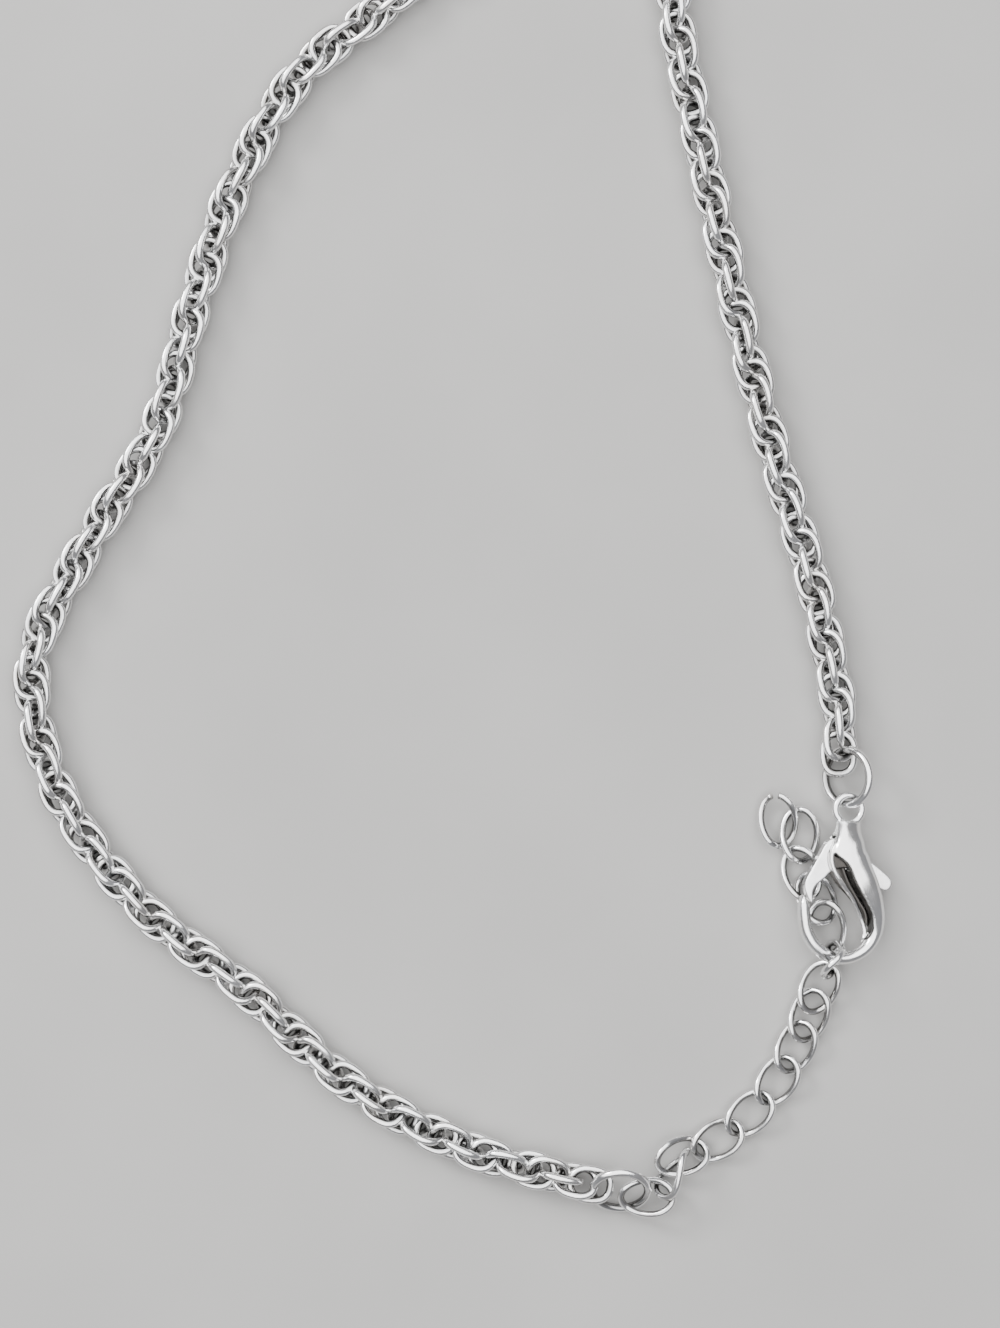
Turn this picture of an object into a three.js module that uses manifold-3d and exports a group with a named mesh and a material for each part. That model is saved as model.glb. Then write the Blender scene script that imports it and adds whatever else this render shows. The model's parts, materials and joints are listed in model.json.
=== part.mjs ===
// A rope chain necklace that lies flat on a surface: a loop of rope chain, a lobster clasp and an
// extender chain of oval curb links. Millimetres, +Z up. It lies on z = 0, and the origin is the
// middle of the underside of the box around it.
import * as THREE from 'three';
import { mergeVertices } from 'three/addons/utils/BufferGeometryUtils.js';
import Module from 'manifold-3d';

const wasm = await Module();
wasm.setup();

// Rope chain: outer diameter of the rope, and the last link that shows free at each end
const ROPE_DIAMETER = 3.25;
const ROPE_SIDES = 8;
const ROPE_STEPS = 66;
const ROPE_LINK_LENGTH = 3.66;
const ROPE_LINK_WIDTH = 3.25;
const ROPE_LINK_WIRE = 0.42;

// Extender links: outer size, wire, how far each is twisted out of flat, and the last one's gap
const LINK_LENGTH = 4.8;
const LINK_WIDTH = 3.4;
const LINK_WIRE = 0.48;
const LINK_TWIST = 0.28;
const OPEN_LINK_GAP_DEG = 24;

// Jump rings
const RING_DIAMETER = 5.2;
const RING_WIRE = 0.62;

// Lobster clasp. CLASP_LENGTH runs from the eye's middle towards the bow, LEVER_GAP is between the
// lever and the casting, PIN_GAP between the rivet and its holes, and EDGE is the small chamfer
const CLASP_LENGTH = 14.0;
const CLASP_WIDTH = 7.2;
const CLASP_BELLY = 3.0;
const EYE_DIAMETER = 2.85;
const EYE_WIRE = 0.62;
const LEVER_REACH = 5.0;
const LEVER_THICKNESS = 1.0;
const LEVER_GAP = 0.2;
const LEVER_OPEN_DEG = 22;
const PIN_DIAMETER = 0.7;
const PIN_LENGTH = 2.2;
const PIN_GAP = 0.12;
const EDGE = 0.05;

// Faces of the round wires and of the clasp's round parts, and how near two corners are to be one
const WIRE_SIDES = 6;
const LINK_SEGMENTS = 16;
const CASTING_SIDES = 14;
const EYE_SIDES = 8;
const EYE_SEGMENTS = 20;
const PIN_SIDES = 12;
const SAME_CORNER = 1e-5;

// Where the clasp lies: its bow, which is hooked into the extender, and above it its eye, which
// leads the rope chain's end. The belly side hangs lower than the hook
const CLASP_PLACE = { x: 28.34, bow: -23.9, lift: 1.95, roll: 12 };
const BOW_ALONG = 0.865;
const EYE_Y = CLASP_PLACE.bow + BOW_ALONG * CLASP_LENGTH;

// Where the rope chain lies: its middle line, in the plane of the surface, from the extender's end
// round the loop to the clasp's end
const ROPE_ROUTE = [
  [6.0, -42.05], [-2.4, -39.5], [-12.2, -34.2], [-20.7, -26.5], [-29.3, -19.6], [-36.3, -9.6],
  [-38.0, 0.3], [-33.9, 9.2], [-28.0, 19.0], [-24.8, 29.6], [-21.4, 39.2], [-16.3, 47.9],
  [-8.8, 54.1], [-3.4, 59.6], [-1.9, 66.0], [-3.4, 73.5], [-7.8, 82.5], [-13.8, 92.5],
  [-17.6, 104.5], [-16.8, 116.5], [-10.8, 127.0], [-0.5, 133.0], [11.0, 132.5], [20.8, 125.5],
  [26.0, 114.5], [26.4, 102.0], [23.4, 90.0], [18.6, 78.5], [14.8, 67.5], [14.1, 54.5],
  [16.6, 41.0], [19.5, 28.0], [22.2, 17.4], [25.4, 6.8], [27.4, EYE_Y + 8.89],
  [27.7, EYE_Y + 5.94],
];

// Where each small link lies. lift is the height of its middle, and heading, pitch and roll turn it
// about +Z, then raise its front end, then raise its left side, in degrees
const ROPE_END_LINKS = {
  left: { x: 7.35, y: -42.3, lift: 1.88, heading: -8, pitch: 0, roll: 0 },
  right: { x: 27.55, y: EYE_Y + 4.49, lift: 1.55, heading: -90, pitch: 0, roll: 0 },
};
const JUMP_RINGS = {
  left: { x: 9.76, y: -42.76, lift: 1.92, heading: 0, pitch: 0, roll: 43 },
  right: { x: 28.21, y: EYE_Y + 2.59, lift: 1.88, heading: 90, pitch: 0, roll: -43 },
};
const EXTENDER_LINKS = [
  { x: 11.95, y: -43.35, lift: 1.7, heading: 0, pitch: 3, roll: 3 },
  { x: 14.1, y: -41.4, lift: 1.72, heading: 60, pitch: 0, roll: -72 },
  { x: 14.8, y: -40.1, lift: 1.2, heading: 14, pitch: -10, roll: 0 },
  { x: 17.75, y: -38.85, lift: 0.7, heading: 29, pitch: 0, roll: 0 },
  { x: 20.35, y: -36.7, lift: 0.8, heading: 42, pitch: 0, roll: 0 },
  { x: 22.6, y: -34.0, lift: 0.8, heading: 55, pitch: 0, roll: 0 },
  { x: 24.1, y: -31.25, lift: 0.8, heading: 65, pitch: 0, roll: 0 },
  { x: 25.2, y: -28.66, lift: 0.84, heading: 70, pitch: 0, roll: 0 },
  { x: 26.0, y: -26.35, lift: 1.0, heading: 65, pitch: 0, roll: 0 },
  { x: 26.9, y: -24.0, lift: 2.41, heading: -17, pitch: 90, roll: 0 },
  { x: 26.63, y: -21.5, lift: 0.95, heading: 100, pitch: 0, roll: 0 },
  { x: 25.8, y: -19.1, lift: 0.8, heading: 115, pitch: 0, roll: 0 },
  { x: 24.62, y: -17.08, lift: 0.8, heading: 108, pitch: 0, roll: 0 },
  { x: 24.45, y: -13.95, lift: 0.87, heading: 92, pitch: -2, roll: 3 },
];
const OPEN_LINK = { x: 22.7, y: -12.75, lift: 0.95, heading: 98, pitch: 9, roll: 0 };

// Middle line of the clasp's casting from the neck round to the hook's tip. across and wide are
// shares of the clasp's width, along of its length from the eye, and deep of the belly's thickness
const CASTING = [
  { across: -0.012, along: 0.076, wide: 0.21, deep: 0.34 },
  { across: -0.012, along: 0.134, wide: 0.25, deep: 0.5 },
  { across: -0.016, along: 0.191, wide: 0.34, deep: 0.76 },
  { across: -0.012, along: 0.273, wide: 0.42, deep: 0.95 },
  { across: 0.028, along: 0.354, wide: 0.43, deep: 1.0 },
  { across: 0.129, along: 0.453, wide: 0.4, deep: 1.0 },
  { across: 0.236, along: 0.557, wide: 0.31, deep: 0.86 },
  { across: 0.293, along: 0.644, wide: 0.245, deep: 0.66 },
  { across: 0.293, along: 0.726, wide: 0.185, deep: 0.52 },
  { across: 0.214, along: 0.799, wide: 0.158, deep: 0.47 },
  { across: 0.078, along: 0.848, wide: 0.15, deep: 0.45 },
  { across: -0.086, along: BOW_ALONG, wide: 0.148, deep: 0.45 },
  { across: -0.25, along: 0.845, wide: 0.148, deep: 0.45 },
  { across: -0.396, along: 0.79, wide: 0.15, deep: 0.45 },
  { across: -0.492, along: 0.709, wide: 0.15, deep: 0.45 },
  { across: -0.526, along: 0.616, wide: 0.142, deep: 0.44 },
  { across: -0.532, along: 0.546, wide: 0.125, deep: 0.4 },
  { across: -0.521, along: 0.494, wide: 0.075, deep: 0.24 },
];

// The rivet, and the front cheek's inner edge, as shares of the clasp's width and length
const RIVET = { across: -0.131, along: 0.238 };
const CHEEK_EDGE = [
  { across: -0.26, along: 0.29 },
  { across: -0.1, along: 0.275 },
  { across: -0.05, along: 0.32 },
  { across: 0.038, along: 0.424 },
  { across: 0.151, along: 0.523 },
  { across: 0.242, along: 0.61 },
  { across: 0.247, along: 0.703 },
  { across: 0.185, along: 0.75 },
  { across: 0.02, along: 0.72 },
  { across: -0.26, along: 0.45 },
];

// The lever's outline round its rivet, as shares of its reach: down the outside of the arm to the
// tip, back up its inside, and out to the thumb tab
const LEVER_OUTLINE = [
  { across: -0.17, along: -0.165 },
  { across: -0.317, along: 0.054 },
  { across: -0.465, along: 0.306 },
  { across: -0.577, along: 0.537 },
  { across: -0.543, along: 0.706 },
  { across: -0.455, along: 0.846 },
  { across: -0.439, along: 0.66 },
  { across: -0.39, along: 0.566 },
  { across: -0.244, along: 0.446 },
  { across: -0.12, along: 0.333 },
  { across: 0.2, along: 0.3 },
  { across: 0.5, along: 0.5 },
  { across: 0.7, along: 0.635 },
  { across: 0.8, along: 0.665 },
  { across: 0.88, along: 0.6 },
  { across: 0.885, along: 0.5 },
  { across: 0.8, along: 0.4 },
  { across: 0.52, along: 0.17 },
  { across: 0.2, along: -0.13 },
  { across: 0, along: -0.2 },
];

// Takes a mesh of shared corners only, which is what joining and cutting need
function weld(geometry) {
  geometry.deleteAttribute('normal');
  geometry.deleteAttribute('uv');
  return mergeVertices(geometry, SAME_CORNER);
}

function toSolid(geometry) {
  const welded = weld(geometry);
  const vertProperties = new Float32Array(welded.attributes.position.array);
  const triVerts = new Uint32Array(welded.index.array);
  return new wasm.Manifold(new wasm.Mesh({ numProp: 3, vertProperties, triVerts }));
}

function toGeometry(solid) {
  const mesh = solid.getMesh();
  const geometry = new THREE.BufferGeometry();
  geometry.setAttribute('position', new THREE.BufferAttribute(mesh.vertProperties, 3));
  geometry.setIndex(new THREE.BufferAttribute(mesh.triVerts, 1));
  return geometry;
}

// The section of a round wire, with a flat side down
function roundSection(diameter, sides) {
  const shape = new THREE.Shape();
  for (let i = 0; i < sides; i += 1) {
    const angle = ((i + 0.5) / sides) * 2 * Math.PI;
    const reach = diameter / 2 / Math.cos(Math.PI / sides);
    const x = reach * Math.cos(angle);
    const y = reach * Math.sin(angle);
    if (i === 0) shape.moveTo(x, y);
    else shape.lineTo(x, y);
  }
  shape.closePath();
  return shape;
}

// The middle line of an oval link: x along it, y across it, and z lifted at two opposite corners
// and lowered at the others, so that links in a row hang in each other lying flat
function ovalPoint(halfLength, halfWidth, twist, angle) {
  const x = halfLength * Math.cos(angle);
  const y = halfWidth * Math.sin(angle);
  return new THREE.Vector3(x, y, -twist * x * y);
}

// A closed oval of round wire: each section of a ring is carried to its place on the oval
function ovalLink({ length, width, wire, twist = 0 }) {
  const halfLength = (length - wire) / 2;
  const halfWidth = (width - wire) / 2;
  const geometry = new THREE.TorusGeometry(1, wire / 2, WIRE_SIDES, LINK_SEGMENTS);
  const position = geometry.attributes.position;
  const corner = new THREE.Vector3();
  const up = new THREE.Vector3(0, 0, 1);
  const step = 0.01;
  for (let i = 0; i < position.count; i += 1) {
    corner.fromBufferAttribute(position, i);
    const angle = Math.atan2(corner.y, corner.x);
    const outward = Math.hypot(corner.x, corner.y) - 1;
    const before = ovalPoint(halfLength, halfWidth, twist, angle - step);
    const tangent = ovalPoint(halfLength, halfWidth, twist, angle + step).sub(before).normalize();
    const side = new THREE.Vector3().crossVectors(tangent, up).normalize();
    const rise = new THREE.Vector3().crossVectors(side, tangent);
    const point = ovalPoint(halfLength, halfWidth, twist, angle);
    point.addScaledVector(side, outward).addScaledVector(rise, corner.z);
    position.setXYZ(i, point.x, point.y, point.z);
  }
  return geometry;
}

// The same oval with a gap sprung open at its front end
function openLink({ length, width, wire, twist, gapDeg }) {
  const halfLength = (length - wire) / 2;
  const halfWidth = (width - wire) / 2;
  const gap = THREE.MathUtils.degToRad(gapDeg);
  const points = [];
  for (let i = 0; i <= LINK_SEGMENTS; i += 1) {
    const angle = gap / 2 + (i / LINK_SEGMENTS) * (2 * Math.PI - gap);
    points.push(ovalPoint(halfLength, halfWidth, twist, angle));
  }
  return new THREE.ExtrudeGeometry(roundSection(wire * Math.cos(Math.PI / WIRE_SIDES), WIRE_SIDES), {
    steps: LINK_SEGMENTS,
    extrudePath: new THREE.CatmullRomCurve3(points),
  });
}

// Turns and moves a thing as a row of the tables above says
function place(object, { x, y, lift, heading, pitch, roll }) {
  object.rotation.order = 'ZYX';
  object.rotation.set(
    THREE.MathUtils.degToRad(roll),
    THREE.MathUtils.degToRad(-pitch),
    THREE.MathUtils.degToRad(heading),
  );
  object.position.set(x, y, lift);
  return object;
}

function metal(color, roughness) {
  return new THREE.MeshStandardMaterial({ color, roughness, metalness: 1 });
}

function addPiece(parent, name, geometry, material) {
  const mesh = new THREE.Mesh(geometry, material);
  mesh.name = name;
  parent.add(mesh);
  return mesh;
}

function placedSolid(geometry, row) {
  const holder = place(new THREE.Object3D(), row);
  holder.updateMatrix();
  return toSolid(geometry.applyMatrix4(holder.matrix));
}

// The rope chain: a tube along the route, with the free link at each end joined to it
function ropeChain() {
  const middle = ROPE_DIAMETER / 2;
  const points = ROPE_ROUTE.map(([x, y]) => new THREE.Vector3(x, y, middle));
  const tube = new THREE.ExtrudeGeometry(roundSection(ROPE_DIAMETER, ROPE_SIDES), {
    steps: ROPE_STEPS,
    extrudePath: new THREE.CatmullRomCurve3(points),
  });
  const link = { length: ROPE_LINK_LENGTH, width: ROPE_LINK_WIDTH, wire: ROPE_LINK_WIRE };
  const left = placedSolid(ovalLink(link), ROPE_END_LINKS.left);
  const right = placedSolid(ovalLink(link), ROPE_END_LINKS.right);
  return toGeometry(toSolid(tube).add(left).add(right));
}

// The clasp's solid casting, before its slot is cut: a row of rounded sections along the middle line
function castingGeometry() {
  const line = new THREE.CatmullRomCurve3(
    CASTING.map((row) => new THREE.Vector3(row.across * CLASP_WIDTH, -row.along * CLASP_LENGTH, 0)),
  );
  const sizes = new THREE.CatmullRomCurve3(
    CASTING.map((row) => new THREE.Vector3(row.wide * CLASP_WIDTH, row.deep * CLASP_BELLY, 0)),
  );
  const rows = 2 * (CASTING.length - 1);
  const geometry = new THREE.CylinderGeometry(0.5, 0.5, 1, CASTING_SIDES, rows);
  const position = geometry.attributes.position;
  const corner = new THREE.Vector3();
  for (let i = 0; i < position.count; i += 1) {
    corner.fromBufferAttribute(position, i);
    const share = 0.5 - corner.y;
    const point = line.getPoint(share);
    const tangent = line.getTangent(share);
    const size = sizes.getPoint(share);
    const side = new THREE.Vector3(-tangent.y, tangent.x, 0);
    point.addScaledVector(side, corner.x * size.x);
    point.z = corner.z * size.y;
    position.setXYZ(i, point.x, point.y, point.z);
  }
  return geometry;
}

function outline(rows, unitAcross, unitAlong) {
  return new THREE.Shape(
    rows.map((row) => new THREE.Vector2(row.across * unitAcross, -row.along * unitAlong)),
  );
}

// A flat piece centred on z = 0, with its outline grown by the given amount
function plate(shape, thickness, grown = 0) {
  const geometry = new THREE.ExtrudeGeometry(shape, {
    depth: thickness - 2 * EDGE,
    bevelThickness: EDGE,
    bevelSize: EDGE,
    bevelOffset: grown - EDGE,
    bevelSegments: 1,
  });
  return geometry.translate(0, 0, EDGE - thickness / 2);
}

function leverShape() {
  return outline(LEVER_OUTLINE, LEVER_REACH, LEVER_REACH);
}

function rivetAxis(diameter, length) {
  return toSolid(
    new THREE.CylinderGeometry(diameter / 2, diameter / 2, length, PIN_SIDES).rotateX(Math.PI / 2),
  );
}

// Everything the lever passes through from closed to open, with its clearance
function leverSweep() {
  const thickness = LEVER_THICKNESS + 2 * LEVER_GAP;
  const steps = 4;
  let sweep = null;
  for (let i = 0; i <= steps; i += 1) {
    const angle = THREE.MathUtils.degToRad((LEVER_OPEN_DEG * i) / steps);
    const stop = toSolid(plate(leverShape(), thickness, LEVER_GAP).rotateZ(angle));
    sweep = sweep ? sweep.add(stop) : stop;
  }
  return sweep;
}

function rivetPlace() {
  return [RIVET.across * CLASP_WIDTH, -RIVET.along * CLASP_LENGTH, 0];
}

// Eye, neck, belly and hook in one casting, cut for the lever and its rivet and open along the
// front cheek's inner edge
function claspBody() {
  const eyeRadius = (EYE_DIAMETER - EYE_WIRE) / 2;
  const eye = toSolid(
    new THREE.TorusGeometry(eyeRadius, EYE_WIRE / 2, EYE_SIDES, EYE_SEGMENTS),
  );
  const cheekCut = plate(outline(CHEEK_EDGE, CLASP_WIDTH, CLASP_LENGTH), CLASP_BELLY);
  const rivetHole = rivetAxis(PIN_DIAMETER + 2 * PIN_GAP, 2 * CLASP_BELLY);
  return toGeometry(
    toSolid(castingGeometry())
      .add(eye)
      .subtract(leverSweep().translate(rivetPlace()))
      .subtract(rivetHole.translate(rivetPlace()))
      .subtract(toSolid(cheekCut.translate(0, 0, CLASP_BELLY / 2))),
  );
}

function claspLever() {
  const hole = rivetAxis(PIN_DIAMETER + 2 * PIN_GAP, 2 * LEVER_THICKNESS);
  return toGeometry(toSolid(plate(leverShape(), LEVER_THICKNESS)).subtract(hole));
}

function addClasp(parent) {
  const clasp = new THREE.Group();
  clasp.position.set(CLASP_PLACE.x, EYE_Y, CLASP_PLACE.lift);
  clasp.rotation.y = THREE.MathUtils.degToRad(CLASP_PLACE.roll);
  parent.add(clasp);
  addPiece(clasp, 'clasp_body', claspBody(), metal(0xd9dadb, 0.16));
  addPiece(clasp, 'clasp_lever', claspLever(), metal(0xd2d3d4, 0.2)).position.set(...rivetPlace());
  const pin = toGeometry(rivetAxis(PIN_DIAMETER, PIN_LENGTH));
  addPiece(clasp, 'clasp_pin', pin, metal(0xb9babc, 0.3)).position.set(...rivetPlace());
}

function addRings(parent) {
  const radius = (RING_DIAMETER - RING_WIRE) / 2;
  for (const [side, row] of Object.entries(JUMP_RINGS)) {
    const ring = weld(new THREE.TorusGeometry(radius, RING_WIRE / 2, WIRE_SIDES, LINK_SEGMENTS));
    place(addPiece(parent, `jump_ring_${side}`, ring, metal(0xcfd0d1, 0.2)), row);
  }
}

function addExtender(parent) {
  const size = { length: LINK_LENGTH, width: LINK_WIDTH, wire: LINK_WIRE, twist: LINK_TWIST };
  EXTENDER_LINKS.forEach((row, i) => {
    const name = `extender_link_${String(i + 1).padStart(2, '0')}`;
    place(addPiece(parent, name, weld(ovalLink(size)), metal(0xcfd0d1, 0.22)), row);
  });
  const open = weld(openLink({ ...size, gapDeg: OPEN_LINK_GAP_DEG }));
  place(addPiece(parent, 'extender_open_link', open, metal(0xcfd0d1, 0.22)), OPEN_LINK);
}

function necklace() {
  const group = new THREE.Group();
  addPiece(group, 'rope_chain', ropeChain(), metal(0xc9cacb, 0.24));
  addRings(group);
  addExtender(group);
  addClasp(group);
  const box = new THREE.Box3().setFromObject(group, true);
  const middle = box.getCenter(new THREE.Vector3());
  group.position.set(-middle.x, -middle.y, 0);
  return group;
}

export default necklace();
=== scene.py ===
"""Looks of a rope chain necklace that lies flat, with its lobster clasp hooked into its extender."""

import json
import math

import bpy
import numpy as np
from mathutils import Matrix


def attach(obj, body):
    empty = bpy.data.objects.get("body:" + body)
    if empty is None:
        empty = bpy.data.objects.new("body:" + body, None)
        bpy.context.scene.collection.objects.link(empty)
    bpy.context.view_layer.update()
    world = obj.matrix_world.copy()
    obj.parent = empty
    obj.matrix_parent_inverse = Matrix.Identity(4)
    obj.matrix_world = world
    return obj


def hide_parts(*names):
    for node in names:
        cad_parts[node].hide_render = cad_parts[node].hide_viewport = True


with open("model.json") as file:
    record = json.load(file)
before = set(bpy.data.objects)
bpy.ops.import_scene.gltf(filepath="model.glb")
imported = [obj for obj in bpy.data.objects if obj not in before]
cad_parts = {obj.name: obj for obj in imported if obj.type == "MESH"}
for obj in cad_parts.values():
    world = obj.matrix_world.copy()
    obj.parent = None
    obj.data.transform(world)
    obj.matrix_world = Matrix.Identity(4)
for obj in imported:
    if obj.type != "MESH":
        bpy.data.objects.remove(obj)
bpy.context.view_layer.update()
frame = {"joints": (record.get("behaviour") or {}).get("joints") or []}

# Sizes and places are in millimetres in the flat drawing of the necklace, whose origin lies at
# OFFSET in the frame. add_piece makes them into metres
OFFSET = np.array([3.946, -45.067, 0.0])
MM = 0.001

# Rope chain: its links' size, how full their ovals are (2 is an ellipse) and the middle's height
ROPE_WIRE = 0.64
ROPE_LINK_LENGTH = 3.9
ROPE_LINK_WIDTH = 3.2
ROPE_LINK_POWER = 2.5
ROPE_HEIGHT = 1.63

# How the rope's links follow each other: the way along and the turn from one to the next. The turn
# changes by a share of itself in slow waves, which go on by ROPE_TURN_WAVE radians a link. Each
# link is tilted over its neighbours, and lies flatter than an even turn would have it
ROPE_PITCH = 1.2
ROPE_TURN_DEG = 46.0
ROPE_TURN_CHANGE = 0.13
ROPE_TURN_WAVE = 0.19
ROPE_TILT_DEG = 9.0
ROPE_FLATTENING_DEG = 14.0

# How unevenly they lie, as standard deviations
ROPE_SEED = 7
ROPE_PLACE_CHANCE = 0.05
ROPE_ROLL_CHANCE_DEG = 3.0
ROPE_HEADING_CHANCE_DEG = 1.2

# Extender links: outer size, wire, how far each is twisted out of flat, and the last one's gap
LINK_LENGTH = 4.8
LINK_WIDTH = 3.4
LINK_WIRE = 0.56
LINK_TWIST = 0.28
OPEN_LINK_GAP_DEG = 24.0

# Jump rings
RING_DIAMETER = 5.2
RING_WIRE = 0.68

# Lobster clasp. CLASP_LENGTH runs from the eye's middle towards the bow. CHEEK_FULLNESS is added to
# the power of the sections' ovals where the belly is deepest, and fades out at half its depth.
# POCKET_DEPTH is how far the pocket's floor lies below the casting's middle
CLASP_LENGTH = 14.0
CLASP_WIDTH = 7.2
CLASP_BELLY = 3.0
EYE_DIAMETER = 2.85
EYE_WIRE = 0.62
CHEEK_FULLNESS = 1.0
POCKET_DEPTH = 0.75
RIM_WIRE = 0.4

# The lever, its gaps to the casting round its outline and at its sides, and how much its sides
# are trimmed before they are rounded. Its slot is cut at steps of its turn, up to its joint's limit
LEVER_REACH = 5.0
LEVER_THICKNESS = 1.0
LEVER_GAP = 0.2
LEVER_SIDE_GAP = 0.12
LEVER_TRIM = 0.02
LEVER_OPEN_DEG = frame["joints"][0]["range_deg"][1]
LEVER_SWEEP_DEG = 7.0

# The rivet, and its gap in the lever's hole
PIN_DIAMETER = 0.7
PIN_LENGTH = 2.2
PIN_GAP = 0.12

# Fineness of the wires: steps along and sides round. A rope link's first step lies at
# ROPE_LINK_START_DEG round its oval. TANGENT_REACH is how far round, in radians, a wire's direction
# is measured to either side of a step
ROUTE_STEPS = 24
ROPE_LINK_STEPS = 28
ROPE_LINK_START_DEG = 6.0
ROPE_WIRE_SIDES = 10
WIRE_STEPS = 72
WIRE_SIDES = 20
TANGENT_REACH = 0.1

# Fineness of the clasp, and the grain and rounds of the smoothing that rounds its edges
OUTLINE_STEPS = 6
CASTING_STEPS = 8
CASTING_SIDES = 40
CASTING_VOXEL = 0.058
CASTING_ROUNDS = 10
EYE_STEPS = 48
EYE_SIDES = 16
RIM_STEPS = 8
RIM_SIDES = 16
LEVER_VOXEL = 0.055
LEVER_ROUNDS = 4
SMOOTHING = 0.5
HOLE_SIDES = 24
PIN_SIDES = 48

# The rope chain's middle line, from the extender's end round the loop to the clasp's end. The two
# end links take the place of the line's first and last steps, and ROUTE_KEPT is what lies between
ROUTE = [
    (6.0, -42.05), (-2.4, -39.5), (-12.2, -34.2), (-20.7, -26.5), (-29.3, -19.6), (-36.3, -9.6),
    (-38.0, 0.3), (-33.9, 9.2), (-28.0, 19.0), (-24.8, 29.6), (-21.4, 39.2), (-16.3, 47.9),
    (-8.8, 54.1), (-3.4, 59.6), (-1.9, 66.0), (-3.4, 73.5), (-7.8, 82.5), (-13.8, 92.5),
    (-17.6, 104.5), (-16.8, 116.5), (-10.8, 127.0), (-0.5, 133.0), (11.0, 132.5), (20.8, 125.5),
    (26.0, 114.5), (26.4, 102.0), (23.4, 90.0), (18.6, 78.5), (14.8, 67.5), (14.1, 54.5),
    (16.6, 41.0), (19.5, 28.0), (22.2, 17.4), (25.4, 6.8), (27.4, -2.9), (27.7, -5.85),
]
ROUTE_KEPT = slice(6, -3)

# Where each small link lies: x, y and height of its middle, then heading, pitch and roll, which
# turn it about +Z, then raise its front end, then raise its left side, in degrees
ROPE_END_LEFT = (7.35, -42.3, 1.88, -8, 0, 0)
ROPE_END_RIGHT = (27.55, -7.3, 1.55, -90, 0, 0)
RING_LEFT = (9.76, -42.76, 1.92, 0, 0, 43)
RING_RIGHT = (28.21, -9.2, 1.88, 90, 0, -43)
LINKS = [
    (11.95, -43.35, 1.7, 0, 3, 3), (14.1, -41.4, 1.72, 60, 0, -72), (14.8, -40.1, 1.2, 14, -10, 0),
    (17.75, -38.85, 0.7, 29, 0, 0), (20.35, -36.7, 0.8, 42, 0, 0), (22.6, -34.0, 0.8, 55, 0, 0),
    (24.1, -31.25, 0.8, 65, 0, 0), (25.2, -28.66, 0.84, 70, 0, 0), (26.0, -26.35, 1.0, 65, 0, 0),
    (26.9, -24.0, 2.41, -17, 90, 0), (26.63, -21.5, 0.95, 100, 0, 0), (25.8, -19.1, 0.8, 115, 0, 0),
    (24.62, -17.08, 0.8, 108, 0, 0), (24.45, -13.95, 0.87, 92, -2, 3),
]
OPEN_LINK = (22.7, -12.75, 0.95, 98, 9, 0)

# Where the clasp lies, in the same way: the middle of its eye, and how its right side is let down
CLASP_PLACE = (28.34, -11.79, 1.95, 0, -12, 0)

# The clasp is drawn round its eye's middle, with its bow towards -Y. Across is in shares of its
# width and along in shares of its length
CLASP_SPAN = (CLASP_WIDTH, -CLASP_LENGTH)
LEVER_SPAN = (LEVER_REACH, -LEVER_REACH)

# Sections of the casting from the neck round to the hook's tip: across, along, how wide as a share
# of the clasp's width, and how deep as a share of the belly's thickness
CASTING = [
    (0.0, 0.07, 0.28, 0.42), (-0.018, 0.134, 0.32, 0.72), (-0.026, 0.191, 0.385, 0.9),
    (-0.033, 0.273, 0.47, 0.98), (0.03, 0.354, 0.46, 1.0), (0.15, 0.453, 0.38, 1.0),
    (0.245, 0.557, 0.3, 0.86), (0.293, 0.644, 0.245, 0.66), (0.293, 0.726, 0.185, 0.52),
    (0.214, 0.799, 0.158, 0.47), (0.078, 0.848, 0.15, 0.45), (-0.086, 0.865, 0.148, 0.45),
    (-0.25, 0.845, 0.148, 0.45), (-0.396, 0.79, 0.15, 0.45), (-0.492, 0.709, 0.15, 0.45),
    (-0.526, 0.616, 0.142, 0.44), (-0.532, 0.546, 0.125, 0.4), (-0.521, 0.494, 0.075, 0.24),
]
RIVET = (-0.131, 0.238)
# The pocket that the front cheek's curved edge leaves open down to the back cheek
POCKET = [
    (-0.216, 0.247), (-0.165, 0.268), (-0.052, 0.319), (0.038, 0.424), (0.151, 0.523),
    (0.242, 0.61), (0.247, 0.703), (0.185, 0.75), (0.1, 0.74), (0.0, 0.66), (-0.1, 0.56),
    (-0.22, 0.47), (-0.34, 0.38), (-0.36, 0.3), (-0.31, 0.245),
]
# The rim that bridges the lever's slot and runs down the pocket's open side to the bow: across,
# along and the height above the casting's middle in millimetres
RIM = [
    (-0.15, 0.17, 0.7), (-0.205, 0.215, 0.88), (-0.238, 0.27, 0.9), (-0.222, 0.33, 0.9),
    (-0.155, 0.395, 0.86), (-0.06, 0.46, 0.66), (0.035, 0.52, 0.3), (0.115, 0.59, -0.1),
    (0.175, 0.66, -0.3), (0.2, 0.72, -0.3), (0.17, 0.78, -0.2),
]
# The lever with its thumb tab, from the rivet's middle, in shares of its reach
LEVER_OUTLINE = [
    (-0.17, -0.165), (-0.317, 0.054), (-0.465, 0.306), (-0.577, 0.537), (-0.543, 0.706),
    (-0.455, 0.846), (-0.439, 0.66), (-0.39, 0.566), (-0.244, 0.446), (-0.12, 0.333), (0.2, 0.3),
    (0.5, 0.5), (0.7, 0.635), (0.8, 0.665), (0.88, 0.6), (0.885, 0.5), (0.8, 0.4), (0.52, 0.17),
    (0.2, -0.13), (0.0, -0.2),
]
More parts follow.
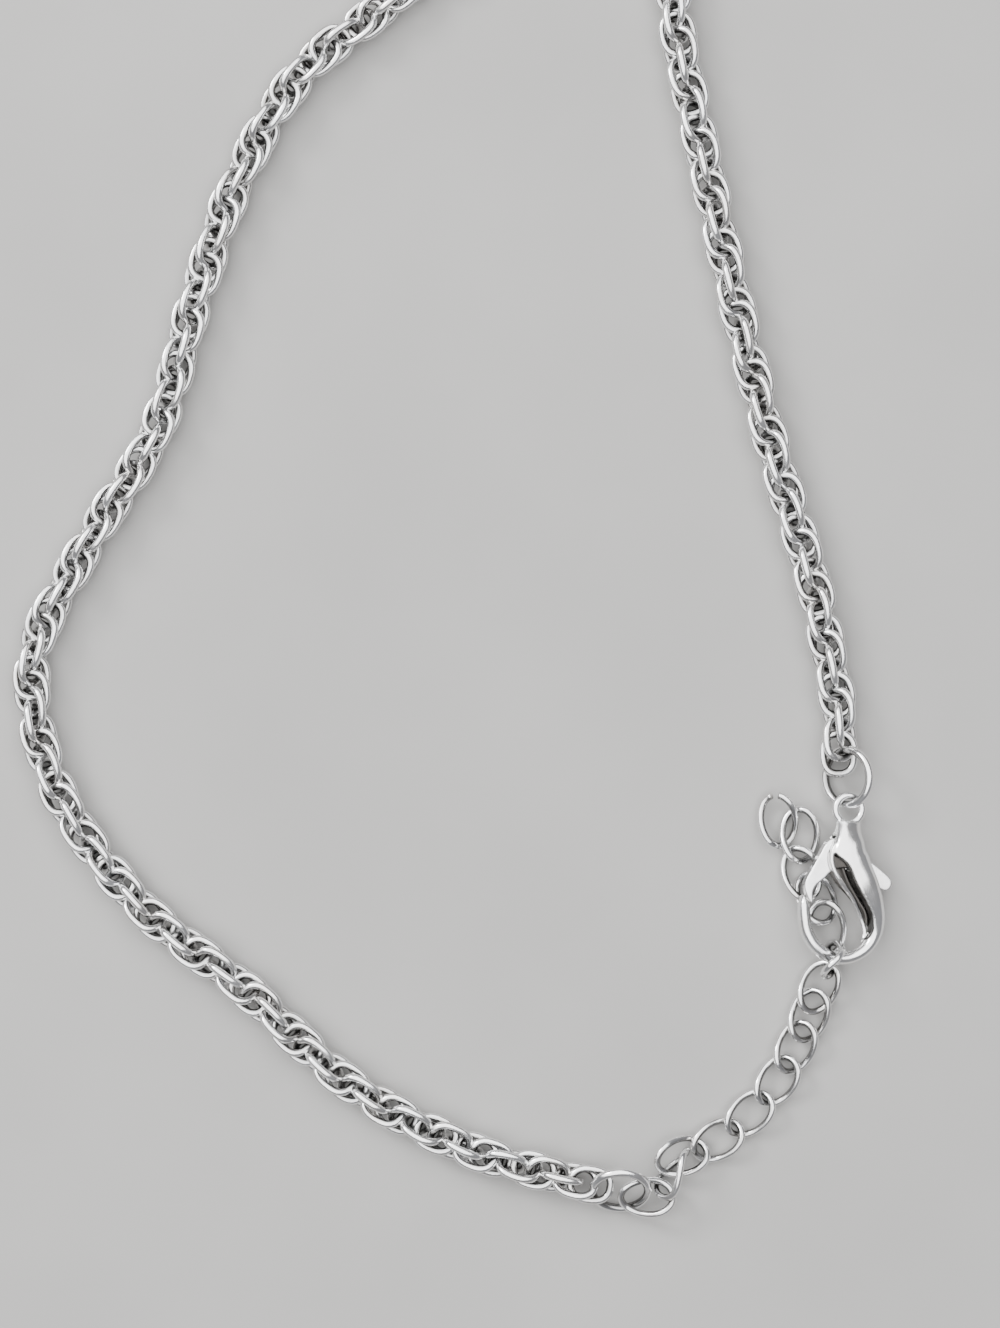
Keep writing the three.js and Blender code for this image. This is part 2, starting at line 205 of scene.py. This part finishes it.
# The rivet's two ends: how far in from its side, and how far from its end
PIN_TOP = [(0.34, 0.0), (0.15, 0.01), (0.06, 0.05), (0.01, 0.12), (0.0, 0.2)]
PIN_FOOT = [(0.0, 0.2), (0.01, 0.12), (0.06, 0.05), (0.34, 0.0)]

# unshaded is 1 where no shade is painted and 0 where the painted shade is darkest. A wire has
# WIRE_UNSHADED on top, less on the inside of its link, where its painted shade is deepest, and more on
# the outside. In the rope it has at least ROPE_LEAST_UNSHADED, and the share ROPE_CORE_UNSHADED of it
# is left along the rope's middle, where the painted shade stands for the links shading each other. The
# rivet has PIN_UNSHADED all over, as painted shade down in the clasp
WIRE_UNSHADED = 0.62
WIRE_UNSHADED_CHANGE = 0.6
ROPE_LEAST_UNSHADED = 0.2
ROPE_CORE_UNSHADED = 0.5
PIN_UNSHADED = 0.6

# Where painted shade darkens the clasp: in the pocket, where shade falls, and a little round its edge,
# no higher than this over the casting's middle, and off the rim by a share of the rim's wire
POCKET_SHADE_MARGIN = 0.12
POCKET_SHADE_HEIGHT = 0.85
RIM_UNSHADED_SHARE = 0.6
LEVER_SHADE_MARGIN = 0.06
SHADE_ROUNDS = 3

# Plated metals: bright tone, dull tone, least roughness, most roughness and what the darkest painted
# shade leaves of the tone
METALS = {
    "rope_silver": (0.92, 0.78, 0.14, 0.28, 0.1),
    "link_silver": (0.92, 0.80, 0.12, 0.26, 0.2),
    "clasp_silver": (0.94, 0.86, 0.15, 0.25, 0.06),
    "pin_silver": (0.66, 0.5, 0.25, 0.4, 0.3),
}
# How warm the tones are: red is this much over green, and blue this much under it
DULL_WARMTH = 0.012
BRIGHT_WARMTH = -0.004
SHADE_WARMTH = 0.003
# Noise as patches to the metre and finer detail, and the values between which it changes a look
TONE_NOISE = (420.0, 4.0)
TONE_STOPS = (0.35, 0.6)
POLISH_NOISE = (1300.0, 5.0)
POLISH_STOPS = (0.3, 0.7)
# The values of unshaded between which the painted shade fades out
SHADE_STOPS = (0.05, 0.85)
# The finest grain, and the bump that it makes
GRAIN_NOISE = (5200.0, 6.0)
GRAIN_STRENGTH = 0.06
GRAIN_DEPTH = 0.00002

# The floor, camera, lights and surroundings, in metres, with the sensor's width in millimetres
FLOOR_REACH = 3.0
FLOOR_NOISE = (40.0, 3.0)
FLOOR_STOPS = (0.3, 0.7)
FLOOR_DARK = (0.325, 0.32, 0.313, 1.0)
FLOOR_LIGHT = (0.355, 0.35, 0.342, 1.0)
FLOOR_ROUGHNESS = 0.75
SENSOR_WIDTH = 36.0
CAMERA_HEIGHT = 0.3
VIEW_HEIGHT = 0.108
# Lights: place, side and power
LIGHTS = {
    "overhead": ((-0.10, 0.08, 0.55), 1.1, 15.0),
    "key": ((-0.45, 0.30, 0.40), 0.2, 3.0),
}
STUDIO_COLOR = (0.5, 0.5, 0.52, 1.0)
STUDIO_STRENGTH = 0.6


def catmull(points, per_span):
    """A smooth line through the points, with knots spaced by the square root of the distance."""
    points = np.asarray(points, float)
    ends = [2 * points[0] - points[1], *points, 2 * points[-1] - points[-2]]
    out = []
    for a, b, c, d in zip(ends, ends[1:], ends[2:], ends[3:]):
        ta = np.linalg.norm(b - a) ** 0.5
        tb = np.linalg.norm(c - b) ** 0.5
        tc = np.linalg.norm(d - c) ** 0.5
        start = ((b - a) / ta - (c - a) / (ta + tb) + (c - b) / tb) * tb
        finish = ((c - b) / tb - (d - b) / (tb + tc) + (d - c) / tc) * tb
        for t in np.arange(per_span) / per_span:
            h = (2 * t**3 - 3 * t**2 + 1, t**3 - 2 * t**2 + t, -2 * t**3 + 3 * t**2, t**3 - t**2)
            out.append(h[0] * b + h[1] * start + h[2] * c + h[3] * finish)
    out.append(points[-1])
    return np.array(out)


def at_lengths(line, lengths):
    """Points of a line at the given distances along it."""
    steps = np.linalg.norm(np.diff(line, axis=0), axis=1)
    done = np.concatenate([[0], np.cumsum(steps)])
    return np.stack([np.interp(lengths, done, line[:, k]) for k in range(line.shape[1])], axis=1)


def turning(heading, pitch, roll):
    """The turn that a row of the tables states."""
    h, p, r = (math.radians(a) for a in (heading, -pitch, roll))
    about_x = np.array([[1, 0, 0], [0, math.cos(r), -math.sin(r)], [0, math.sin(r), math.cos(r)]])
    about_y = np.array([[math.cos(p), 0, math.sin(p)], [0, 1, 0], [-math.sin(p), 0, math.cos(p)]])
    about_z = np.array([[math.cos(h), -math.sin(h), 0], [math.sin(h), math.cos(h), 0], [0, 0, 1]])
    return about_z @ about_y @ about_x


def placed(points, row):
    """Points drawn round the origin, carried to where a row of the tables says."""
    return points @ turning(*row[3:]).T + np.array(row[:3])


def shape_at(shape, row):
    """A shape, which is its corners, its faces and how much painted shade each corner has, carried in
    the same way.
    """
    corners, faces, unshaded = shape
    return placed(corners, row), faces, unshaded


def round_angles(steps):
    return np.arange(steps) / steps * 2 * math.pi


def circle(radius, steps):
    angles = round_angles(steps)
    return radius * np.stack([np.cos(angles), np.sin(angles)], axis=1)


def unit(vectors):
    return vectors / np.linalg.norm(vectors, axis=1)[:, None]


def mesh_object(name, vertices, faces):
    mesh = bpy.data.meshes.new(name)
    mesh.from_pydata(np.asarray(vertices).tolist(), [], faces)
    mesh.update()
    made = bpy.data.objects.new(name, mesh)
    bpy.context.scene.collection.objects.link(made)
    return made


def add_piece(name, shape, body, node, material):
    """A piece in the frame, made from a shape where it lies in the flat drawing."""
    corners, faces, unshaded = shape
    piece = mesh_object(name, (corners + OFFSET) * MM, faces)
    # A wire's end caps stay flat
    piece.data.polygons.foreach_set("use_smooth", [len(face) == 4 for face in faces])
    # Each corner's unshaded share: 1 where no shade is painted, 0 under the darkest painted shade
    layer = piece.data.attributes.new("unshaded", "FLOAT", "POINT")
    layer.data.foreach_set("value", np.asarray(unshaded, np.float32))
    piece.data.materials.append(material)
    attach(piece, body)
    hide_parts(node)


def ring_faces(rows, sides, closed):
    """Faces of a tube of rows of corners, capped at both ends where it is open."""
    faces = []
    for i in range(rows if closed else rows - 1):
        here = i * sides
        ahead = (i + 1) % rows * sides
        for k in range(sides):
            beside = (k + 1) % sides
            faces.append((here + k, here + beside, ahead + beside, ahead + k))
    if not closed:
        last = (rows - 1) * sides
        faces.append(tuple(reversed(range(sides))))
        faces.append(tuple(range(last, last + sides)))
    return faces


def wire(line, tangents, diameter, sides):
    """Corners of a round wire along a line, each section square to it."""
    side = unit(np.cross([0.0, 0.0, 1.0], tangents))
    rise = np.cross(tangents, side)
    angles = round_angles(sides)
    spread = side[:, None, :] * np.cos(angles)[None, :, None]
    spread = spread + rise[:, None, :] * np.sin(angles)[None, :, None]
    return (line[:, None, :] + spread * diameter / 2).reshape(-1, 3)


def fuller(wave, power):
    """A sine or cosine for an oval that is fuller at its corners than an ellipse, which is power 2."""
    return np.sign(wave) * np.abs(wave) ** (2 / power)


def oval(half_length, half_width, twist, angles, power):
    x = half_length * fuller(np.cos(angles), power)
    y = half_width * fuller(np.sin(angles), power)
    return np.stack([x, y, -twist * x * y], axis=1)


def oval_wire(length, width, thickness, twist, steps, sides, gap_deg=0.0, start_deg=0.0, power=2.0):
    """A closed link of round wire, or one with a gap at its front end."""
    start = math.radians(start_deg)
    if gap_deg:
        gap = math.radians(gap_deg)
        angles = start + gap / 2 + np.arange(steps + 1) / steps * (2 * math.pi - gap)
    else:
        angles = start + round_angles(steps)
    size = ((length - thickness) / 2, (width - thickness) / 2, twist)
    ahead = oval(*size, angles + TANGENT_REACH, power)
    behind = oval(*size, angles - TANGENT_REACH, power)
    corners = wire(oval(*size, angles, power), unit(ahead - behind), thickness, sides)
    # Painted shade round the wire: deepest on its link's inner side, none on its outer side
    around = WIRE_UNSHADED - WIRE_UNSHADED_CHANGE * np.cos(round_angles(sides))
    unshaded = np.tile(np.clip(around, 0, 1), len(angles))
    return corners, ring_faces(len(angles), sides, closed=not gap_deg), unshaded


def rope_link():
    """One link of the rope chain round the origin, with painted shade deepening towards the rope's
    middle.
    """
    corners, faces, unshaded = oval_wire(
        ROPE_LINK_LENGTH, ROPE_LINK_WIDTH, ROPE_WIRE, 0.0, ROPE_LINK_STEPS, ROPE_WIRE_SIDES,
        start_deg=ROPE_LINK_START_DEG, power=ROPE_LINK_POWER,
    )
    outward = np.hypot(corners[:, 1], corners[:, 2]) / (ROPE_LINK_WIDTH / 2)
    # Painted shade, deeper towards the rope's middle, where the links shade each other
    unshaded = np.clip(unshaded, ROPE_LEAST_UNSHADED, 1) * np.clip(ROPE_CORE_UNSHADED + outward, 0, 1)
    return corners, faces, unshaded


def rope_rows():
    """Where each link of the rope chain lies, each through its two neighbours on either side."""
    line = catmull([(x, y, ROPE_HEIGHT) for x, y in ROUTE], ROUTE_STEPS)
    line = np.vstack([ROPE_END_LEFT[:3], line[ROUTE_KEPT], ROPE_END_RIGHT[:3]])
    length = np.linalg.norm(np.diff(line, axis=0), axis=1).sum()
    count = round(length / ROPE_PITCH)
    waves = np.sin(np.arange(count) * ROPE_TURN_WAVE)
    turns = ROPE_TURN_DEG * (1 + ROPE_TURN_CHANGE * waves)
    rolls = np.concatenate([[0], np.cumsum(turns)])
    # The last link lies flat, as the first does
    rolls *= 180 * round(rolls[-1] / 180) / rolls[-1]
    chance = np.random.default_rng(ROPE_SEED)
    spots = np.linspace(0, length, count + 1)
    spots[1:-1] += chance.normal(0, ROPE_PLACE_CHANCE, count - 1)
    places = at_lengths(line, spots)
    rows = [ROPE_END_LEFT]
    for i in range(1, count):
        ahead = places[i + 1] - places[i - 1]
        roll = rolls[i] + chance.normal(0, ROPE_ROLL_CHANCE_DEG)
        heading = math.degrees(math.atan2(ahead[1], ahead[0]))
        heading += chance.normal(0, ROPE_HEADING_CHANCE_DEG)
        lean = math.sin(math.radians(2 * roll))
        # The front end of a link is over its neighbours where its right side is up
        tilt = -ROPE_TILT_DEG * lean
        rows.append((*places[i], heading, tilt, roll - ROPE_FLATTENING_DEG * lean))
    rows.append(ROPE_END_RIGHT)
    return rows


def rope_shape():
    """Every link of the rope chain in one shape."""
    link_corners, link_faces, link_unshaded = rope_link()
    rows = rope_rows()
    corners = np.vstack([placed(link_corners, row) for row in rows])
    faces = []
    for first in range(0, len(corners), len(link_corners)):
        faces.extend([tuple(first + k for k in face) for face in link_faces])
    return corners, faces, np.tile(link_unshaded, len(rows))


def add_extender(metal):
    size = (LINK_LENGTH, LINK_WIDTH, LINK_WIRE, LINK_TWIST, WIRE_STEPS, WIRE_SIDES)
    link = oval_wire(*size)
    for number, row in enumerate(LINKS, start=1):
        node = f"extender_link_{number:02d}"
        add_piece(f"link_{number:02d}", shape_at(link, row), "necklace", node, metal)
    last = shape_at(oval_wire(*size, gap_deg=OPEN_LINK_GAP_DEG), OPEN_LINK)
    add_piece("open_link", last, "necklace", "extender_open_link", metal)


def add_jump_rings(metal):
    ring = oval_wire(RING_DIAMETER, RING_DIAMETER, RING_WIRE, 0.0, WIRE_STEPS, WIRE_SIDES)
    for side, row in (("left", RING_LEFT), ("right", RING_RIGHT)):
        node = f"jump_ring_{side}"
        add_piece(f"ring_{side}", shape_at(ring, row), "necklace", node, metal)


def winding(outline):
    """1 where an outline runs anticlockwise, and -1 where it runs clockwise."""
    x, y = outline.T
    return np.sign(np.sum(x * np.roll(y, -1) - y * np.roll(x, -1)))


def prism(name, outline, low, high):
    """A straight-sided block with the given outline."""
    if winding(outline) < 0:
        outline = outline[::-1]
    n = len(outline)
    vertices = [(x, y, low) for x, y in outline] + [(x, y, high) for x, y in outline]
    faces = [tuple(reversed(range(n))), tuple(range(n, 2 * n))]
    faces += [(k, (k + 1) % n, n + (k + 1) % n, n + k) for k in range(n)]
    return mesh_object(name, vertices, faces)


def rounded_outline(rows, span):
    """A closed smooth outline through a table's points, which are shares of span."""
    points = np.array(rows) * span
    # Two points more before the first and three after the last make it smooth where it closes
    line = catmull(np.vstack([points[-2:], points, points[:3]]), OUTLINE_STEPS)
    return line[2 * OUTLINE_STEPS : (2 + len(rows)) * OUTLINE_STEPS]


def grown(outline, amount):
    """An outline moved outward by the given amount."""
    ahead = unit(np.roll(outline, -1, axis=0) - np.roll(outline, 1, axis=0))
    outward = np.stack([ahead[:, 1], -ahead[:, 0]], axis=1)
    return outline + winding(outline) * amount * outward


def within(corners, outline):
    """Which corners lie inside an outline, seen along Z."""
    inside = np.zeros(len(corners), bool)
    for (ax, ay), (bx, by) in zip(outline, np.roll(outline, -1, axis=0)):
        if ay != by:
            crosses = (corners[:, 1] < ay) != (corners[:, 1] < by)
            at = ax + (corners[:, 1] - ay) * (bx - ax) / (by - ay)
            inside ^= crosses & (corners[:, 0] < at)
    return inside


def casting_sweep():
    """The casting without its eye, as ovals along its bent middle line."""
    shares = np.array([*CLASP_SPAN, CLASP_WIDTH, CLASP_BELLY])
    path = catmull(np.array(CASTING) * shares, CASTING_STEPS)
    line = np.column_stack([path[:, :2], np.zeros(len(path))])
    wide = path[:, 2:3]
    deep = path[:, 3:4]
    ahead = unit(np.gradient(line, axis=0))
    side = np.stack([-ahead[:, 1], ahead[:, 0], np.zeros(len(line))], axis=1)
    angles = round_angles(CASTING_SIDES)[None, :]
    power = 2 + CHEEK_FULLNESS * np.clip(deep / CLASP_BELLY * 2 - 1, 0, 1)
    across = fuller(np.cos(angles), power) * wide / 2
    corners = line[:, None, :] + side[:, None, :] * across[:, :, None]
    corners[:, :, 2] += fuller(np.sin(angles), power) * deep / 2
    return corners.reshape(-1, 3), ring_faces(len(line), CASTING_SIDES, closed=False)


def cast(base, steps, voxel, rounds):
    """Joins solids to one or cuts them out of it in turn, and rounds every edge as casting does."""
    for operation, other in steps:
        step = base.modifiers.new(operation, "BOOLEAN")
        step.operation = operation
        step.solver = "EXACT"
        step.object = other
    even = base.modifiers.new("even", "REMESH")
    even.mode = "VOXEL"
    even.voxel_size = voxel
    soft = base.modifiers.new("soft", "SMOOTH")
    soft.factor = SMOOTHING
    soft.iterations = rounds
    shown = base.evaluated_get(bpy.context.evaluated_depsgraph_get())
    mesh = shown.to_mesh()
    corners = np.array([tuple(v.co) for v in mesh.vertices])
    faces = [tuple(p.vertices) for p in mesh.polygons]
    shown.to_mesh_clear()
    for made in [base] + [other for operation, other in steps]:
        bpy.data.objects.remove(made)
    return corners, faces


def spread_out(values, faces):
    """Values of a mesh's corners, evened out between neighbours."""
    quads = np.array([face for face in faces if len(face) == 4])
    shares = np.bincount(quads.ravel(), minlength=len(values))
    for _ in range(SHADE_ROUNDS):
        even = np.repeat(values[quads].mean(axis=1), 4)
        values = np.bincount(quads.ravel(), even, len(values)) / np.maximum(shares, 1)
    return values


def distances(corners, line):
    """How far each corner is from each point of a line."""
    return np.array([np.linalg.norm(line - corner, axis=1) for corner in corners])


def casting_shape(rivet, lever, pocket, rim):
    """The eye, neck, cheeks and hook in one casting, with its pocket, rim and lever slot."""
    casting = mesh_object("casting", *casting_sweep())
    eye = oval_wire(EYE_DIAMETER, EYE_DIAMETER, EYE_WIRE, 0.0, EYE_STEPS, EYE_SIDES)
    steps = [("UNION", mesh_object("eye", *eye[:2]))]
    half = LEVER_THICKNESS / 2 + LEVER_SIDE_GAP
    angles = np.arange(0, LEVER_OPEN_DEG - LEVER_SWEEP_DEG, LEVER_SWEEP_DEG)
    for angle in (*angles, LEVER_OPEN_DEG):
        outline = grown(lever, LEVER_GAP) @ turning(angle, 0, 0)[:2, :2].T + rivet
        steps.append(("DIFFERENCE", prism("sweep", outline, -half, half)))
    steps.append(("DIFFERENCE", prism("pocket", pocket, -POCKET_DEPTH, CLASP_BELLY)))
    tube = wire(rim, unit(np.gradient(rim, axis=0)), RIM_WIRE, RIM_SIDES)
    rim_faces = ring_faces(len(rim), RIM_SIDES, closed=False)
    steps.append(("UNION", mesh_object("rim", tube, rim_faces)))
    corners, faces = cast(casting, steps, CASTING_VOXEL, CASTING_ROUNDS)
    # Painted shade in the pocket, where shade falls, kept off the rim
    shaded = within(corners, grown(pocket, POCKET_SHADE_MARGIN))
    shaded &= np.abs(corners[:, 2]) < POCKET_SHADE_HEIGHT
    shaded &= distances(corners, rim).min(axis=1) > RIM_WIRE * RIM_UNSHADED_SHARE
    return corners, faces, spread_out(np.where(shaded, 0.0, 1.0), faces)


def lever_shape(rivet, lever, pocket, rim):
    """The lever with its thumb tab and its hole for the rivet."""
    half = LEVER_THICKNESS / 2 - LEVER_TRIM
    arm = prism("arm", lever, -half, half)
    opening = circle(PIN_DIAMETER / 2 + PIN_GAP, HOLE_SIDES)
    hole = prism("hole", opening, -LEVER_THICKNESS, LEVER_THICKNESS)
    corners, faces = cast(arm, [("DIFFERENCE", hole)], LEVER_VOXEL, LEVER_ROUNDS)
    corners = corners + np.array([*rivet, 0.0])
    # Painted shade on the lever where it lies in the pocket. Only what lies to the right of the rim is
    # in the pocket
    rim_across = rim[distances(corners, rim).argmin(axis=1), 0]
    shaded = within(corners, grown(pocket, LEVER_SHADE_MARGIN)) & (corners[:, 0] > rim_across)
    return corners, faces, spread_out(np.where(shaded, 0.0, 1.0), faces)


def rivet_shape(rivet):
    radius = PIN_DIAMETER / 2
    reach = PIN_LENGTH / 2
    profile = [(radius - inset, reach - below) for inset, below in PIN_TOP]
    profile += [(radius - inset, above - reach) for inset, above in PIN_FOOT]
    corners = np.vstack([
        np.column_stack([circle(size, PIN_SIDES) + rivet, np.full(PIN_SIDES, height)])
        for size, height in profile
    ])
    faces = [tuple(reversed(face)) for face in ring_faces(len(profile), PIN_SIDES, closed=False)]
    # Painted shade over the whole rivet, which lies down in the clasp
    return corners, faces, np.full(len(corners), PIN_UNSHADED)


def add_clasp(metal, pin_metal):
    rivet = np.array(RIVET) * CLASP_SPAN
    lever = rounded_outline(LEVER_OUTLINE, LEVER_SPAN)
    pocket = rounded_outline(POCKET, CLASP_SPAN)
    rim = catmull(np.array(RIM) * (*CLASP_SPAN, 1), RIM_STEPS)

    casting = shape_at(casting_shape(rivet, lever, pocket, rim), CLASP_PLACE)
    add_piece("clasp_casting", casting, "necklace", "clasp_body", metal)
    arm = shape_at(lever_shape(rivet, lever, pocket, rim), CLASP_PLACE)
    add_piece("clasp_arm", arm, "lever", "clasp_lever", metal)
    pin = shape_at(rivet_shape(rivet), CLASP_PLACE)
    add_piece("clasp_rivet", pin, "necklace", "clasp_pin", pin_metal)


def node_tree(name):
    """A material with nothing in it but a shader on its output."""
    material = bpy.data.materials.new(name)
    material.use_nodes = True
    nodes = material.node_tree.nodes
    links = material.node_tree.links
    nodes.clear()
    out = nodes.new("ShaderNodeOutputMaterial")
    shader = nodes.new("ShaderNodeBsdfPrincipled")
    links.new(shader.outputs["BSDF"], out.inputs["Surface"])
    return material, nodes, links, shader


def noise(nodes, links, place, scale, detail):
    node = nodes.new("ShaderNodeTexNoise")
    node.inputs["Scale"].default_value = scale
    node.inputs["Detail"].default_value = detail
    links.new(place, node.inputs["Vector"])
    return node.outputs["Fac"]


def ramp(nodes, links, value, stops, colors):
    """A colour that runs from one to another between two stops of a value."""
    node = nodes.new("ShaderNodeValToRGB")
    for element, stop, color in zip(node.color_ramp.elements, stops, colors):
        element.position = stop
        element.color = color
    links.new(value, node.inputs["Fac"])
    return node.outputs["Color"]


def grey(value, warmth=0.0):
    return (value + warmth, value, value - warmth, 1.0)


def silver(name):
    """Plated metal: mottled tone, uneven polish, fine grain, and painted shade wherever the mesh's
    shade attribute asks for it.
    """
    bright, dull, smooth, rough, darkest_shade = METALS[name]
    material, nodes, links, shader = node_tree(name)
    shader.inputs["Metallic"].default_value = 1.0
    place = nodes.new("ShaderNodeTexCoord").outputs["Object"]
    patches = noise(nodes, links, place, *TONE_NOISE)
    tones = (grey(dull, DULL_WARMTH), grey(bright, BRIGHT_WARMTH))
    tone = ramp(nodes, links, patches, TONE_STOPS, tones)
    shade_map = nodes.new("ShaderNodeAttribute")
    shade_map.attribute_name = "unshaded"
    painted_shade_tones = (grey(darkest_shade, SHADE_WARMTH), grey(1.0))
    painted_shade = ramp(nodes, links, shade_map.outputs["Fac"], SHADE_STOPS, painted_shade_tones)
    mixed = nodes.new("ShaderNodeMix")
    mixed.data_type = "RGBA"
    mixed.blend_type = "MULTIPLY"
    mixed.inputs["Factor"].default_value = 1.0
    links.new(tone, mixed.inputs["A"])
    links.new(painted_shade, mixed.inputs["B"])
    links.new(mixed.outputs["Result"], shader.inputs["Base Color"])
    spread = nodes.new("ShaderNodeMapRange")
    spread.inputs["From Min"].default_value = POLISH_STOPS[0]
    spread.inputs["From Max"].default_value = POLISH_STOPS[1]
    spread.inputs["To Min"].default_value = smooth
    spread.inputs["To Max"].default_value = rough
    links.new(noise(nodes, links, place, *POLISH_NOISE), spread.inputs["Value"])
    links.new(spread.outputs["Result"], shader.inputs["Roughness"])
    bump = nodes.new("ShaderNodeBump")
    bump.inputs["Strength"].default_value = GRAIN_STRENGTH
    bump.inputs["Distance"].default_value = GRAIN_DEPTH
    links.new(noise(nodes, links, place, *GRAIN_NOISE), bump.inputs["Height"])
    links.new(bump.outputs["Normal"], shader.inputs["Normal"])
    return material


def add_floor():
    reach = FLOOR_REACH
    corners = [(-reach, -reach, 0), (reach, -reach, 0), (reach, reach, 0), (-reach, reach, 0)]
    floor = mesh_object("floor", corners, [(0, 1, 2, 3)])
    material, nodes, links, shader = node_tree("pale_floor")
    shader.inputs["Roughness"].default_value = FLOOR_ROUGHNESS
    place = nodes.new("ShaderNodeTexCoord").outputs["Object"]
    patches = noise(nodes, links, place, *FLOOR_NOISE)
    tone = ramp(nodes, links, patches, FLOOR_STOPS, (FLOOR_DARK, FLOOR_LIGHT))
    links.new(tone, shader.inputs["Base Color"])
    floor.data.materials.append(material)


def add_camera():
    """The camera looks straight down, as the photograph does."""
    data = bpy.data.cameras.new("camera")
    data.sensor_width = SENSOR_WIDTH
    data.lens = SENSOR_WIDTH * CAMERA_HEIGHT / VIEW_HEIGHT
    camera = bpy.data.objects.new("camera", data)
    camera.location = (*OFFSET[:2] * MM, CAMERA_HEIGHT + ROPE_HEIGHT * MM)
    bpy.context.scene.collection.objects.link(camera)
    bpy.context.scene.camera = camera


def add_light(name):
    """A square light that faces the middle of the view."""
    place, side, power = LIGHTS[name]
    light = bpy.data.lights.new(name, "AREA")
    light.size = side
    light.energy = power
    lamp = bpy.data.objects.new(name, light)
    lamp.location = place
    away = np.array(place) - OFFSET * MM
    flat = math.hypot(away[0], away[1])
    lamp.rotation_euler = (math.atan2(flat, away[2]), 0, math.atan2(away[0], -away[1]))
    bpy.context.scene.collection.objects.link(lamp)


def add_surroundings():
    world = bpy.data.worlds.new("studio")
    world.use_nodes = True
    background = world.node_tree.nodes["Background"]
    background.inputs["Color"].default_value = STUDIO_COLOR
    background.inputs["Strength"].default_value = STUDIO_STRENGTH
    bpy.context.scene.world = world


add_camera()
metals = {name: silver(name) for name in METALS}
add_piece("rope_links", rope_shape(), "necklace", "rope_chain", metals["rope_silver"])
add_extender(metals["link_silver"])
add_jump_rings(metals["link_silver"])
add_clasp(metals["clasp_silver"], metals["pin_silver"])
add_floor()
for light_name in LIGHTS:
    add_light(light_name)
add_surroundings()
